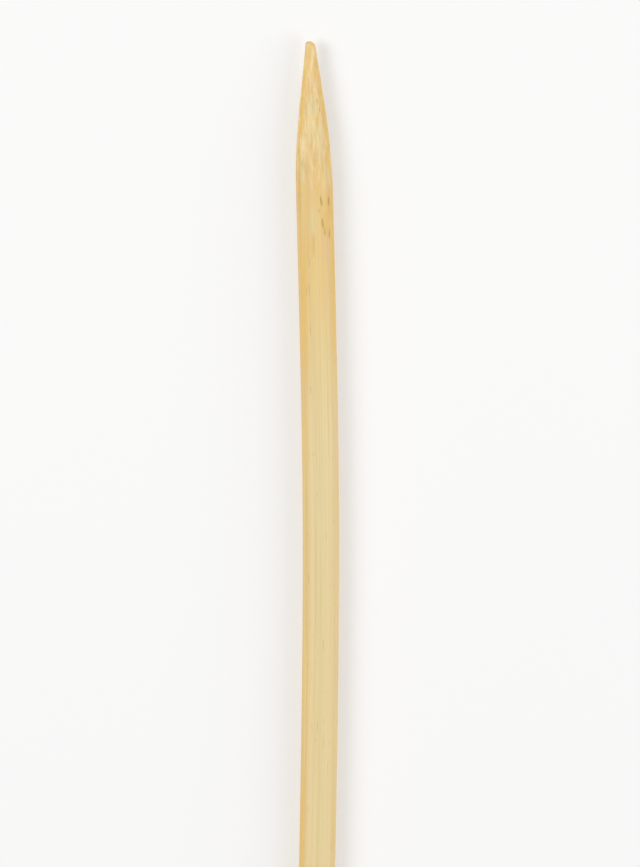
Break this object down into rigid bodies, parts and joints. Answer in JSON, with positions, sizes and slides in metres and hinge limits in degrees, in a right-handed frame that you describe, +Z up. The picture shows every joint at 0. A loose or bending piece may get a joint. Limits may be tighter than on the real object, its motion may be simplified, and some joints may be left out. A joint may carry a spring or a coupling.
{
  "type": "bamboo skewer",
  "caption": "Long thin round bamboo skewer with a tapered, blunt-ended point at one end and a square sawn butt at the other, very slightly bowed.",
  "frame": {"origin": "middle of the skewer's box in X and Y, on the surface that the skewer lies on", "axes": "+X along the skewer from the butt to the point, +Z up from the surface it lies on; it bows sideways towards -Y"},
  "size_m": [0.3048, 0.0062, 0.0039],
  "materials": {
    "bamboo": "bare pale bamboo, milled and lightly polished, with fine lengthwise fibres"
  },
  "bodies": {
    "root": {"skewer": "bamboo"}
  },
  "joints": []
}
